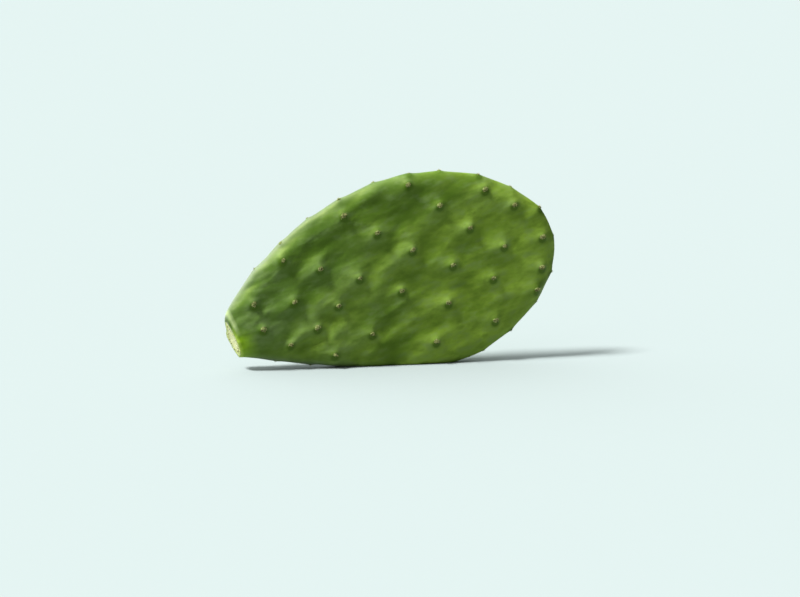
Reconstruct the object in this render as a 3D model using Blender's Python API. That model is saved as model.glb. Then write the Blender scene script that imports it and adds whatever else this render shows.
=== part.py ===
"""Prickly pear cactus pad, cut from its plant and standing on its long lower edge.

The pad grew as one piece: a flattened green stem with a rounded rim, an oval cut where it was
taken off the plant, and areoles, the small felt cushions that carry a cactus's bristles. Each
areole sits at the tip end of a tubercle, a low swelling that runs out towards the pad's base.
Metres, +Z up: X runs along the pad from the cut to the tip, -Y is the front face, and the
origin is on the flat spot that the pad rests on, near its middle. Sizes below are in mm.
"""

import math
import random

import bmesh
import bpy
import numpy as np
from mathutils import Matrix, Vector

MM = 0.001

# The pad's plan: x along the pad and z up. Its axis rises from the cut to the tip. The outline
# closes past the cut, which takes that end away.
AXIS_TILT = math.radians(18.5)
PLAN_CENTRE = (-6.0, 62.0)
PLAN_HALF_SIZE = (117.0, 64.0)
OUTLINE = (
    (-127, 10.5), (-113, 9), (-96, 7), (-76, 4), (-54, 1.5), (-30, -0.5), (-2, -1.6), (25, -1),
    (49.5, 6.5), (72, 22), (89, 40.5), (99, 61), (100.5, 80), (92, 100), (73.5, 114.5),
    (46.5, 125.5), (15, 128.5), (-16.5, 124), (-47.5, 111.5), (-77.5, 92), (-102.5, 66.5),
    (-120.5, 41.8), (-129.5, 20),
)
STEPS_PER_POINT = 12

# Half the thickness along the axis from the cut (0) to the tip (1) is a cubic. The faces are a
# little cambered, and the rim is round over its depth.
HALF_THICKNESS = (6.4, 5.0, -10.0, 3.7)
FACE_CAMBER = 0.12
CAMBER_DEPTH = 50.0
RIM_DEPTH = 11.0
BOW = 3.0
LEAN = -0.012

# The oval cut is square to the base of the pad, but oblique, so that it faces a little forward
CUT_MIDDLE = (-118.5, 21.2)
CUT_TILT = math.radians(20.5)
CUT_OBLIQUE = math.radians(16)
CUTTER_SIZE = (60.0, 400.0)

# Areoles stand in slanting rows, a little farther apart towards the tip: start, end, the row's
# sag at its middle, and count. Those of the back face stand between those of the front.
AREOLE_ROWS = (
    ((50, 116.5), (90.5, 83.5), -5.5, 3),
    ((-2, 121), (90, 64), 2.5, 5),
    ((-47, 101), (88, 48), 3.5, 6),
    ((-86, 73), (57, 28), -3.5, 6),
    ((-105, 46), (-50, 43), -2.5, 3),
    ((-100, 29), (16, 16), -3, 4),
    ((-82, 18), (-51, 10), 0, 2),
)
ROW_GROWTH = 1.08
ROW_JITTER = 1.0
BACK_SHIFT = 0.5
LEAST_DEPTH = 4.0

# The rim's areoles stand one step apart, from the upper end of the cut round to the lower one
RIM_START = 32.0
RIM_STEP = 24.0
RIM_JITTER = 1.5
RIM_SIDE = 1.2
SEED = 11

TUBERCLE_HEIGHT = 2.4
RIM_TUBERCLE_HEIGHT = 0.9
TUBERCLE_TO_BASE = 16.0
TUBERCLE_TO_TIP = 6.0
TUBERCLE_HALF_WIDTH = 7.0
CUSHION_RADIUS = 2.0
CUSHION_HALF_HEIGHT = 1.6
CUSHION_RISE = 0.9
CUSHION_SIDES = 6
CUSHION_RINGS = 4

# Cuts in the grid of the body: along the pad, up it and across its rim
GRID_CUTS = (43, 7, 27)


def outline_curve():
    """The closed outline, as a Catmull-Rom curve through its points."""
    knots = np.array(OUTLINE, dtype=float)
    points = []
    for i in range(len(knots)):
        p0, p1, p2, p3 = (knots[(i + k) % len(knots)] for k in (-1, 0, 1, 2))
        for t in np.arange(STEPS_PER_POINT) / STEPS_PER_POINT:
            points.append(0.5 * (2 * p1 + (p2 - p0) * t + (2 * p0 - 5 * p1 + 4 * p2 - p3) * t**2
                                 + (3 * p1 - p0 - 3 * p2 + p3) * t**3))
    return np.array(points)


def axis_directions():
    """Unit vectors along the pad's axis and across it."""
    along = np.array((math.cos(AXIS_TILT), math.sin(AXIS_TILT)))
    return along, np.array((-along[1], along[0]))


def to_shares(points):
    """Plan points as shares of the half length and half width, from the plan's centre."""
    along, across = axis_directions()
    offset = points - np.array(PLAN_CENTRE)
    return np.stack((offset @ along, offset @ across), axis=1) / PLAN_HALF_SIZE


def from_shares(shares):
    """The plan points of such shares."""
    return np.array(PLAN_CENTRE) + (shares * PLAN_HALF_SIZE) @ np.array(axis_directions())


def rim_towards(outline, angle):
    """Where the outline lies in each direction from the plan's centre."""
    shares = to_shares(outline)
    turn = np.arctan2(shares[:, 1], shares[:, 0])
    radius = np.interp(angle, turn, np.hypot(*shares.T), period=2 * math.pi)
    return from_shares(np.stack((radius * np.cos(angle), radius * np.sin(angle)), axis=1))


def rim_distance(outline, points):
    """Distance of each plan point from the outline."""
    nearest = np.full(len(points), np.inf)
    for start, end in zip(outline, np.roll(outline, -1, axis=0)):
        side = end - start
        share = np.clip((points - start) @ side / (side @ side), 0, 1)
        nearest = np.minimum(nearest, np.hypot(*(points - start - np.outer(share, side)).T))
    return nearest


def half_thickness(outline, points):
    """Half the pad's thickness at each plan point."""
    along = (to_shares(points)[:, 0] + 1) / 2
    depth = rim_distance(outline, points)
    body = np.polyval(HALF_THICKNESS[::-1], along)
    camber = 1 - FACE_CAMBER * (1 - np.clip(depth / CAMBER_DEPTH, 0, 1)) ** 2
    return body * camber * np.sqrt(1 - (1 - np.clip(depth / RIM_DEPTH, 0, 1)) ** 2)


def middle_plane(points):
    """How far back the pad's middle lies at each plan point, from its bow and its lean."""
    return BOW * to_shares(points)[:, 0] ** 2 + LEAN * points[:, 1]


def shape_pad(cube_points, outline):
    """Turns points on a cube of half size 1 into points on the smooth pad."""
    x, y, z = np.clip(cube_points, -1, 1).T
    disc_x = x * np.sqrt(1 - z**2 / 2)
    disc_z = z * np.sqrt(1 - x**2 / 2)
    rim = rim_towards(outline, np.arctan2(disc_z, disc_x))
    inward = np.array(PLAN_CENTRE) - rim
    reach = np.hypot(*inward.T)
    on_rim = RIM_DEPTH * (1 - np.cos(y * math.pi / 2))
    on_face = RIM_DEPTH + (reach - RIM_DEPTH) * (1 - np.hypot(disc_x, disc_z))
    depth = np.where(np.abs(y) < 0.999, on_rim, on_face)
    plan = rim + inward * (depth / reach)[:, None]
    thickness = np.sign(np.round(y, 6)) * half_thickness(outline, plan)
    return np.stack((plan[:, 0], middle_plane(plan) + thickness, plan[:, 1]), axis=1)


def make_body(outline):
    """The smooth pad: a cube, cut into a grid on each side and moved onto the pad's surface."""
    bm = bmesh.new()
    bmesh.ops.create_cube(bm, size=2)
    for axis, cuts in enumerate(GRID_CUTS):
        edges = [e for e in bm.edges if abs(e.verts[0].co[axis] - e.verts[1].co[axis]) > 0.01]
        bmesh.ops.subdivide_edges(bm, edges=edges, cuts=cuts, use_grid_fill=True)
    for vert, place in zip(bm.verts, shape_pad(np.array([v.co for v in bm.verts]), outline)):
        vert.co = Vector(place) * MM
    mesh = bpy.data.meshes.new("cactus_pad")
    bm.to_mesh(mesh)
    bm.free()
    body = bpy.data.objects.new("cactus_pad", mesh)
    bpy.context.collection.objects.link(body)
    return body


def face_places(outline, shift):
    """Plan places of one face's areoles, moved along their rows by a share of a step."""
    places = []
    for start, end, sag, count in AREOLE_ROWS:
        for n in range(count):
            share = (ROW_GROWTH ** (n + shift) - 1) / (ROW_GROWTH ** (count - 1) - 1)
            x, z = np.array(start) + (np.array(end) - np.array(start)) * share
            places.append((x, z - 4 * sag * share * (1 - share)))
    places = np.array(places)
    centred = to_shares(places)
    rim = to_shares(rim_towards(outline, np.arctan2(centred[:, 1], centred[:, 0])))
    inside = np.hypot(*centred.T) < np.hypot(*rim.T)
    return places[inside & (rim_distance(outline, places) > LEAST_DEPTH)]


def rim_places(outline):
    """Plan places of the rim's areoles, and the way out of the pad at each."""
    path = outline[::-1]
    first = np.argmin(np.hypot(*(path - np.array(OUTLINE[-2])).T))
    path = np.roll(path, -first, axis=0)
    steps = np.roll(path, -1, axis=0) - path
    run = np.concatenate(((0,), np.cumsum(np.hypot(*steps.T))))
    last = run[np.argmin(np.hypot(*(path - np.array(OUTLINE[1])).T))]
    draw = random.Random(SEED)
    places = []
    for at in np.arange(RIM_START, last, RIM_STEP):
        n = np.searchsorted(run, at + draw.uniform(-RIM_JITTER, RIM_JITTER)) - 1
        out = np.array((-steps[n][1], steps[n][0])) / np.hypot(*steps[n])
        places.append((path[n], out))
    return places


def seat_areoles(body, outline):
    """Each areole's seat on the smooth pad: its point, the way out there, and its swelling."""
    draw = random.Random(SEED)
    seats = []
    for side, shift in ((-1, 0.0), (1, BACK_SHIFT)):
        for x, z in face_places(outline, shift):
            x += draw.uniform(-ROW_JITTER, ROW_JITTER)
            z += draw.uniform(-ROW_JITTER, ROW_JITTER)
            start = Vector((x, 40 * side, z)) * MM
            hit, point, normal, _ = body.ray_cast(start, Vector((0, -side, 0)))
            if hit:
                seats.append((point, normal, TUBERCLE_HEIGHT))
    for n, (place, out) in enumerate(rim_places(outline)):
        y = middle_plane(place[None])[0] + RIM_SIDE * (-1) ** n
        start = Vector((place[0] + 20 * out[0], y, place[1] + 20 * out[1])) * MM
        hit, point, normal, _ = body.ray_cast(start, Vector((-out[0], 0, -out[1])))
        if hit:
            seats.append((point, normal, RIM_TUBERCLE_HEIGHT))
    return seats


def swell_tubercles(body, seats):
    """Raises the skin at each seat: steeply towards the tip and gently towards the base."""
    base = Vector((CUT_MIDDLE[0], 0, CUT_MIDDLE[1])) * MM
    rise = np.zeros(len(body.data.vertices))
    points = np.array([v.co for v in body.data.vertices]) / MM
    for seat, _, height in seats:
        to_base = np.array((base - seat).normalized())
        offset = points - np.array(seat) / MM
        down = offset @ to_base
        across = offset - np.outer(down, to_base)
        length = np.where(down > 0, TUBERCLE_TO_BASE, TUBERCLE_TO_TIP)
        spread = (down / length) ** 2 + (across**2).sum(axis=1) / TUBERCLE_HALF_WIDTH**2
        rise += height * np.exp(1 - np.sqrt(1 + 4 * spread))
    normals = [v.normal.copy() for v in body.data.vertices]
    for vert, normal, amount in zip(body.data.vertices, normals, rise):
        vert.co += normal * amount * MM


def make_cushions(body, seats):
    """The areoles' felt cushions: small domes sunk into the skin at their seats."""
    bm = bmesh.new()
    for seat, normal, _ in seats:
        hit, point, out, _ = body.ray_cast(seat + normal * 10 * MM, -normal)
        if not hit:
            continue
        centre = point + out * (CUSHION_RISE - CUSHION_HALF_HEIGHT) * MM
        size = Vector((CUSHION_RADIUS, CUSHION_RADIUS, CUSHION_HALF_HEIGHT)) * MM
        place = Matrix.LocRotScale(centre, out.to_track_quat("Z", "Y"), size)
        bmesh.ops.create_uvsphere(bm, u_segments=CUSHION_SIDES, v_segments=CUSHION_RINGS,
                                  radius=1, matrix=place)
    mesh = bpy.data.meshes.new("areole_cushions")
    bm.to_mesh(mesh)
    bm.free()
    cushions = bpy.data.objects.new("areole_cushions", mesh)
    bpy.context.collection.objects.link(cushions)
    return cushions


def make_cutter(name, point, normal, collection):
    """A block that takes away all that lies beyond a plane."""
    size, width = CUTTER_SIZE
    bm = bmesh.new()
    bmesh.ops.create_cube(bm, size=1)
    mesh = bpy.data.meshes.new(name)
    bm.to_mesh(mesh)
    bm.free()
    cutter = bpy.data.objects.new(name, mesh)
    centre = (point + normal * size / 2) * MM
    scale = Vector((width, width, size)) * MM
    mesh.transform(Matrix.LocRotScale(centre, normal.to_track_quat("Z", "Y"), scale))
    cutter.hide_render = True
    cutter.display_type = "WIRE"
    collection.objects.link(cutter)
    return cutter


def add_boolean(target, operation, other):
    """Cuts the target with another object, or joins that object to it."""
    boolean = target.modifiers.new(operation.lower(), "BOOLEAN")
    boolean.operation = operation
    boolean.solver = "EXACT"
    boolean.object = other
    return boolean


def apply_modifiers(target):
    """Keeps the target as its modifiers show it, and removes them."""
    bpy.context.view_layer.update()
    evaluated = target.evaluated_get(bpy.context.evaluated_depsgraph_get())
    mesh = bpy.data.meshes.new_from_object(evaluated)
    target.modifiers.clear()
    target.data = mesh


def make_skin():
    """The pad's waxy mid-green skin."""
    material = bpy.data.materials.new("cactus_skin")
    material.use_nodes = True
    shader = material.node_tree.nodes["Principled BSDF"]
    shader.inputs["Base Color"].default_value = (0.10, 0.22, 0.045, 1)
    shader.inputs["Roughness"].default_value = 0.45
    shader.inputs["Metallic"].default_value = 0
    return material


def new_collection(name):
    """A collection in the scene."""
    collection = bpy.data.collections.new(name)
    bpy.context.scene.collection.children.link(collection)
    return collection


def main():
    for thing in list(bpy.data.objects):
        bpy.data.objects.remove(thing)
    parts = new_collection("prickly_pear_cactus_pad")
    cutters = new_collection("cutters")

    outline = outline_curve()
    pad = make_body(outline)
    bpy.context.view_layer.update()
    seats = seat_areoles(pad, outline)
    swell_tubercles(pad, seats)
    bpy.context.view_layer.update()

    cushions = make_cushions(pad, seats)
    add_boolean(pad, "UNION", cushions)
    apply_modifiers(pad)
    bpy.data.objects.remove(cushions)

    cut_out = Vector((-math.cos(CUT_TILT) * math.cos(CUT_OBLIQUE), -math.sin(CUT_OBLIQUE),
                      -math.sin(CUT_TILT) * math.cos(CUT_OBLIQUE)))
    cut_point = Vector((CUT_MIDDLE[0], middle_plane(np.array([CUT_MIDDLE]))[0], CUT_MIDDLE[1]))
    add_boolean(pad, "DIFFERENCE", make_cutter("base_cut", cut_point, cut_out, cutters))
    add_boolean(pad, "DIFFERENCE", make_cutter("rest_cut", Vector(), Vector((0, 0, -1)), cutters))

    pad.data.materials.clear()
    pad.data.materials.append(make_skin())
    pad.data.shade_smooth()
    bpy.context.collection.objects.unlink(pad)
    parts.objects.link(pad)


main()
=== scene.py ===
# %% [markdown]
# # A prickly pear cactus pad
# A pad is one flattened joint of a cactus stem. This one was cut from its plant and stands on
# its long lower edge. The solid model gives its size, its place and the spot that it rests on.
# This lesson dresses it: a fine skin with soft swellings, felt cushions with their bristles,
# and the pale flesh of the cut.

import math
import random

import bmesh
import bpy
import numpy as np
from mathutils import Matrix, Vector


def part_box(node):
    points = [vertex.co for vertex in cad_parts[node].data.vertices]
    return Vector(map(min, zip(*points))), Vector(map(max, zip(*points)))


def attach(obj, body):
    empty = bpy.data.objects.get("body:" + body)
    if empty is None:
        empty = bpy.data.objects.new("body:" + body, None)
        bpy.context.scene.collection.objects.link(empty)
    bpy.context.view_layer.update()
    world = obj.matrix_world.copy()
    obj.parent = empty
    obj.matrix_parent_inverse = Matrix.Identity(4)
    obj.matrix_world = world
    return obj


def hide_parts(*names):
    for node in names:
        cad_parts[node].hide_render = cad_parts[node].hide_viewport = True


MM = 0.001
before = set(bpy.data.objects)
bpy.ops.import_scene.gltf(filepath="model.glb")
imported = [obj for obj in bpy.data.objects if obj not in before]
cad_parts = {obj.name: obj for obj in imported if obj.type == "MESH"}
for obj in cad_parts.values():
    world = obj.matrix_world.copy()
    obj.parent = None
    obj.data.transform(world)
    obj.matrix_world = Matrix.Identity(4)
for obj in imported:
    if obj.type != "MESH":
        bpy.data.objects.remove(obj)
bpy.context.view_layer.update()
low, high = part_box("cactus_pad")
print("solid pad, mm:", [round((b - a) / MM, 1) for a, b in zip(low, high)])

# %% [markdown]
# ## The camera
# A long lens a good step away keeps a flat thing's proportions true. The camera stands a little
# towards the cut end and looks slightly down, so that the cut shows as a slim oval.

# %% Place the camera
CAMERA_PLACE = (-0.3088, -1.3110, 0.2623)
CAMERA_TURN = math.radians(13.0)
CAMERA_PITCH = math.radians(9.2)
LENS_MM = 92.25


def add_camera():
    """A camera turned about the vertical, then pitched down."""
    camera = bpy.data.objects.new("camera", bpy.data.cameras.new("camera"))
    bpy.context.scene.collection.objects.link(camera)
    camera.location = CAMERA_PLACE
    camera.rotation_euler = (math.pi / 2 - CAMERA_PITCH, 0, -CAMERA_TURN)
    camera.data.lens = LENS_MM
    bpy.context.scene.camera = camera
    return camera


camera = add_camera()
print("camera distance, m:", round(camera.location.length, 2))

# %% [markdown]
# ## The plan of the pad
# Seen from the front, a pad is an egg-shaped outline on a tilted axis. It could be drawn as a
# curve and filled, but the skin needs a thickness at every point, so the outline is kept as
# points of a Catmull-Rom curve, and small functions turn it into directions and distances.

# %% Measure the plan
AXIS_TILT = math.radians(18.5)
PLAN_CENTRE = np.array((-6.0, 62.0))
PLAN_HALF_SIZE = np.array((117.0, 64.0))
OUTLINE = (
    (-127, 10.5), (-113, 9), (-96, 7), (-76, 4), (-54, 1.5), (-30, -0.5), (-2, -1.6), (25, -1),
    (49.5, 6.5), (72, 22), (89, 40.5), (99, 61), (100.5, 80), (92, 100), (73.5, 114.5),
    (46.5, 125.5), (15, 128.5), (-16.5, 124), (-47.5, 111.5), (-77.5, 92), (-102.5, 66.5),
    (-120.5, 41.8), (-129.5, 20),
)
STEPS_PER_POINT = 12
ALONG = np.array((math.cos(AXIS_TILT), math.sin(AXIS_TILT)))
ACROSS = np.array((-math.sin(AXIS_TILT), math.cos(AXIS_TILT)))


def outline_curve():
    """The closed outline in mm, as a Catmull-Rom curve through its points."""
    knots = np.array(OUTLINE, dtype=float)
    points = []
    for i in range(len(knots)):
        p0, p1, p2, p3 = (knots[(i + k) % len(knots)] for k in (-1, 0, 1, 2))
        for t in np.arange(STEPS_PER_POINT) / STEPS_PER_POINT:
            points.append(0.5 * (2 * p1 + (p2 - p0) * t + (2 * p0 - 5 * p1 + 4 * p2 - p3) * t**2
                                 + (3 * p1 - p0 - 3 * p2 + p3) * t**3))
    return np.array(points)


def to_shares(points):
    """Plan points as shares of the half length and half width, from the plan's centre."""
    offset = points - PLAN_CENTRE
    return np.stack((offset @ ALONG, offset @ ACROSS), axis=1) / PLAN_HALF_SIZE


def rim_towards(angle):
    """Where the outline lies in each direction from the plan's centre."""
    shares = to_shares(outline)
    turn = np.arctan2(shares[:, 1], shares[:, 0])
    radius = np.interp(angle, turn, np.hypot(*shares.T), period=2 * math.pi)
    rim = np.stack((radius * np.cos(angle), radius * np.sin(angle)), axis=1)
    return PLAN_CENTRE + (rim * PLAN_HALF_SIZE) @ np.array((ALONG, ACROSS))


def rim_distance(points):
    """Distance of each plan point from the outline."""
    nearest = np.full(len(points), np.inf)
    for start, end in zip(outline, np.roll(outline, -1, axis=0)):
        side = end - start
        share = np.clip((points - start) @ side / (side @ side), 0, 1)
        nearest = np.minimum(nearest, np.hypot(*(points - start - np.outer(share, side)).T))
    return nearest


outline = outline_curve()
print("outline, mm:", np.ptp(outline, axis=0).round(1))

# %% [markdown]
# ## The smooth pad
# The flesh swells most near the base third and thins towards the tip, the two faces are a little
# cambered, and the rim is round. Box modelling with a subdivision surface would give such a
# form by eye. Here it follows a rule, so a cube is cut into a fine grid and each of its points
# is moved onto the pad: its two large sides become the faces and the other four the rim.

# %% Shape the smooth pad
HALF_THICKNESS = (6.4, 5.0, -10.0, 3.7)
FACE_CAMBER = 0.12
CAMBER_DEPTH = 50.0
RIM_DEPTH = 11.0
BOW = 3.0
LEAN = -0.012
GRID_CUTS = ((231, 27, 143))
ON_FACE = 0.999
CUBE_DIGITS = 6


def half_thickness(points):
    """Half the pad's thickness at each plan point."""
    along = (to_shares(points)[:, 0] + 1) / 2
    depth = rim_distance(points)
    body = np.polyval(HALF_THICKNESS[::-1], along)
    camber = 1 - FACE_CAMBER * (1 - np.clip(depth / CAMBER_DEPTH, 0, 1)) ** 2
    return body * camber * np.sqrt(1 - (1 - np.clip(depth / RIM_DEPTH, 0, 1)) ** 2)


def middle_plane(points):
    """How far back the pad's middle lies at each plan point, from its bow and its lean."""
    return BOW * to_shares(points)[:, 0] ** 2 + LEAN * points[:, 1]


def shape_pad(cube_points):
    """Turns points on a cube of half size 1 into points on the smooth pad."""
    x, y, z = np.clip(cube_points, -1, 1).T
    disc_x = x * np.sqrt(1 - z**2 / 2)
    disc_z = z * np.sqrt(1 - x**2 / 2)
    rim = rim_towards(np.arctan2(disc_z, disc_x))
    inward = PLAN_CENTRE - rim
    reach = np.hypot(*inward.T)
    on_rim = RIM_DEPTH * (1 - np.cos(y * math.pi / 2))
    on_face = RIM_DEPTH + (reach - RIM_DEPTH) * (1 - np.hypot(disc_x, disc_z))
    depth = np.where(np.abs(y) < ON_FACE, on_rim, on_face)
    plan = rim + inward * (depth / reach)[:, None]
    thickness = np.sign(np.round(y, CUBE_DIGITS)) * half_thickness(plan)
    return np.stack((plan[:, 0], middle_plane(plan) + thickness, plan[:, 1]), axis=1)


middle_half = half_thickness(np.array([PLAN_CENTRE]))[0]
print("thickness at the middle, mm:", round(2 * middle_half, 1))

# %% Make the smooth pad
CUBE_GAP = 0.001


def new_object(name, mesh):
    """Links a new object for a mesh."""
    thing = bpy.data.objects.new(name, mesh)
    bpy.context.scene.collection.objects.link(thing)
    return thing


def object_from(bm, name):
    """A new object for what a bmesh holds."""
    mesh = bpy.data.meshes.new(name)
    bm.to_mesh(mesh)
    bm.free()
    return new_object(name, mesh)


def make_smooth_pad():
    """A cube, cut into a grid on each side and moved onto the pad's surface."""
    bm = bmesh.new()
    bmesh.ops.create_cube(bm, size=2)
    for axis, cuts in enumerate(GRID_CUTS):
        edges = [e for e in bm.edges if abs(e.verts[0].co[axis] - e.verts[1].co[axis]) > CUBE_GAP]
        bmesh.ops.subdivide_edges(bm, edges=edges, cuts=cuts, use_grid_fill=True)
    for vert, place in zip(bm.verts, shape_pad(np.array([v.co for v in bm.verts]))):
        vert.co = Vector(place) * MM
    return object_from(bm, "pad_skin")


pad = make_smooth_pad()
print("faces of the smooth pad:", len(pad.data.polygons))

# %% [markdown]
# ## Where the areoles sit
# Areoles are the spots that a cactus's bristles grow from. They follow the stem's growth spiral,
# which on a flat pad shows as slanting rows, with a chain of them round the rim. Scattering
# them at random would look wrong, so each row is spaced by a rule, with a small seeded wander.
# The seats are kept as a mesh of loose points, which Geometry Nodes can read.

# %% Space the areoles
AREOLE_ROWS = (
    ((50, 116.5), (90.5, 83.5), -5.5, 3),
    ((-2, 121), (90, 64), 2.5, 5),
    ((-47, 101), (88, 48), 3.5, 6),
    ((-86, 73), (57, 28), -3.5, 6),
    ((-105, 46), (-50, 43), -2.5, 3),
    ((-100, 29), (16, 16), -3, 4),
    ((-82, 18), (-51, 10), 0, 2),
)
ROW_GROWTH = 1.08
ROW_JITTER = 1.0
BACK_SHIFT = 0.5
LEAST_DEPTH = 4.0
RIM_START = 32.0
RIM_STEP = 24.0
RIM_JITTER = 1.5
SEED = 11


def face_places(shift):
    """Plan places of one face's areoles, moved along their rows by a share of a step."""
    places = []
    for start, end, sag, count in AREOLE_ROWS:
        for n in range(count):
            share = (ROW_GROWTH ** (n + shift) - 1) / (ROW_GROWTH ** (count - 1) - 1)
            x, z = np.array(start) + (np.array(end) - np.array(start)) * share
            places.append((x, z - 4 * sag * share * (1 - share)))
    places = np.array(places)
    centred = to_shares(places)
    rim = to_shares(rim_towards(np.arctan2(centred[:, 1], centred[:, 0])))
    inside = np.hypot(*centred.T) < np.hypot(*rim.T)
    return places[inside & (rim_distance(places) > LEAST_DEPTH)]


def rim_places():
    """Plan places of the rim's areoles, and the way out of the pad at each."""
    path = outline[::-1]
    first = np.argmin(np.hypot(*(path - np.array(OUTLINE[-2])).T))
    path = np.roll(path, -first, axis=0)
    steps = np.roll(path, -1, axis=0) - path
    run = np.concatenate(((0,), np.cumsum(np.hypot(*steps.T))))
    last = run[np.argmin(np.hypot(*(path - np.array(OUTLINE[1])).T))]
    draw = random.Random(SEED)
    places = []
    for at in np.arange(RIM_START, last, RIM_STEP):
        n = np.searchsorted(run, at + draw.uniform(-RIM_JITTER, RIM_JITTER)) - 1
        out = np.array((-steps[n][1], steps[n][0])) / np.hypot(*steps[n])
        places.append((path[n], out))
    return places


print("front areoles:", len(face_places(0)), "rim areoles:", len(rim_places()))

# %% Seat the areoles
RIM_SIDE = 1.2
FACE_HEIGHT = 1.65
RIM_HEIGHT = 0.6
RIM_CUSHION = 0.78
FACE_RAY = 40.0
RIM_RAY = 20.0
LOWEST_SWELLING = -5 * MM
CUT_MIDDLE = (-118.5, 21.2)


def areole_rays():
    """For each areole, a ray from outside, its swelling's height and its cushion's size."""
    draw = random.Random(SEED)
    rays = []
    for side, shift in ((-1, 0.0), (1, BACK_SHIFT)):
        for x, z in face_places(shift):
            x += draw.uniform(-ROW_JITTER, ROW_JITTER)
            z += draw.uniform(-ROW_JITTER, ROW_JITTER)
            start = Vector((x, FACE_RAY * side, z)) * MM
            rays.append((start, Vector((0, -side, 0)), FACE_HEIGHT, 1.0))
    for n, (place, out) in enumerate(rim_places()):
        y = middle_plane(place[None])[0] + RIM_SIDE * (-1) ** n
        start = Vector((place[0] + RIM_RAY * out[0], y, place[1] + RIM_RAY * out[1])) * MM
        rays.append((start, Vector((-out[0], 0, -out[1])), RIM_HEIGHT, RIM_CUSHION))
    return rays


def add_values(mesh, name, kind, values):
    """Stores one value for each point of a mesh."""
    slot = mesh.attributes.new(name, kind, "POINT")
    slot.data.foreach_set("value" if kind == "FLOAT" else "vector", np.ravel(values))


def make_seats(name, skin, rays, lowest):
    """Loose points where the rays meet the skin, with the way out and the way to the base."""
    base = Vector((CUT_MIDDLE[0], 0, CUT_MIDDLE[1])) * MM
    points, outs, downs, heights, shares = [], [], [], [], []
    bpy.context.view_layer.update()
    for start, towards, height, share in rays:
        hit, point, normal, _ = skin.ray_cast(start, towards)
        if not hit or point.z < lowest:
            continue
        points.append(point)
        outs.append(normal)
        downs.append((base - point).normalized())
        heights.append(height * MM)
        shares.append(share)
    mesh = bpy.data.meshes.new(name)
    mesh.from_pydata(points, [], [])
    add_values(mesh, "out", "FLOAT_VECTOR", outs)
    add_values(mesh, "to_base", "FLOAT_VECTOR", downs)
    add_values(mesh, "height", "FLOAT", heights)
    add_values(mesh, "share", "FLOAT", shares)
    return new_object(name, mesh)


rays = areole_rays()
seats = make_seats("seats", pad, rays, LOWEST_SWELLING)
print("areoles:", len(seats.data.vertices))

# %% [markdown]
# ## A small kit for node trees
# Geometry Nodes trees and materials are both graphs, and both are easier to read when one line
# adds a node and links what goes into it. An input may be another node's output or a value.

# %% Helpers for nodes
def link(tree, value, socket):
    """Links an output to a socket, or sets the socket to a value."""
    if isinstance(value, bpy.types.NodeSocket):
        tree.links.new(value, socket)
    elif value is not None:
        socket.default_value = value


def add_node(tree, kind, *values, **settings):
    """Adds a node, sets its properties and fills its inputs in order; None leaves one alone."""
    node = tree.nodes.new(kind)
    for name, value in settings.items():
        setattr(node, name, value)
    for value, socket in zip(values, node.inputs):
        link(tree, value, socket)
    return node


def math_of(tree, operation, *values):
    """The result of one Math node."""
    return add_node(tree, "ShaderNodeMath", *values, operation=operation).outputs[0]


def vector_of(tree, operation, *values):
    """The vector that one Vector Math node gives."""
    return add_node(tree, "ShaderNodeVectorMath", *values, operation=operation).outputs["Vector"]


def number_of(tree, operation, *values):
    """The number that one Vector Math node gives."""
    return add_node(tree, "ShaderNodeVectorMath", *values, operation=operation).outputs["Value"]


print("helpers ready")

# %% Helpers for trees
def position(tree):
    """Where each point is."""
    return add_node(tree, "GeometryNodeInputPosition").outputs[0]


def way_out(tree):
    """The normal at each point."""
    return add_node(tree, "GeometryNodeInputNormal").outputs[0]


def value_on(tree, name, kind="FLOAT"):
    """A value stored on the mesh."""
    return add_node(tree, "GeometryNodeInputNamedAttribute", name, data_type=kind).outputs[0]


def store(tree, geometry, name, value, domain="POINT"):
    """Stores a number on a geometry under a name."""
    node = add_node(tree, "GeometryNodeStoreNamedAttribute", geometry, None, name, domain=domain)
    link(tree, value, node.inputs["Value"])
    return node.outputs[0]


def pushed(tree, geometry, way, amount):
    """A geometry whose points are moved along a direction by an amount."""
    moved = add_node(tree, "GeometryNodeSetPosition", geometry)
    link(tree, vector_of(tree, "SCALE", way, None, None, amount), moved.inputs["Offset"])
    return moved.outputs[0]


def centred_noise(tree, place, amount, detail=2.0, distortion=0.0):
    """A noise on a place, from minus to plus an amount."""
    noise = add_node(tree, "ShaderNodeTexNoise")
    link(tree, place, noise.inputs["Vector"])
    for name, value in (("Scale", 1.0), ("Detail", detail), ("Distortion", distortion)):
        noise.inputs[name].default_value = value
    centred = math_of(tree, "MULTIPLY_ADD", noise.outputs[0], 2.0, -1.0)
    return math_of(tree, "MULTIPLY", centred, amount)


SOCKET_KINDS = {
    float: "NodeSocketFloat", int: "NodeSocketInt",
    bpy.types.Object: "NodeSocketObject", bpy.types.Material: "NodeSocketMaterial",
}


def new_tree(name, sizes):
    """A tree that takes and gives a geometry, with a named input for each of the sizes."""
    tree = bpy.data.node_groups.new(name, "GeometryNodeTree")
    tree.interface.new_socket("Geometry", in_out="INPUT", socket_type="NodeSocketGeometry")
    tree.interface.new_socket("Geometry", in_out="OUTPUT", socket_type="NodeSocketGeometry")
    for label, value in sizes.items():
        tree.interface.new_socket(label, in_out="INPUT", socket_type=SOCKET_KINDS[type(value)])
    return tree, add_node(tree, "NodeGroupInput").outputs, add_node(tree, "NodeGroupOutput").inputs


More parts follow.
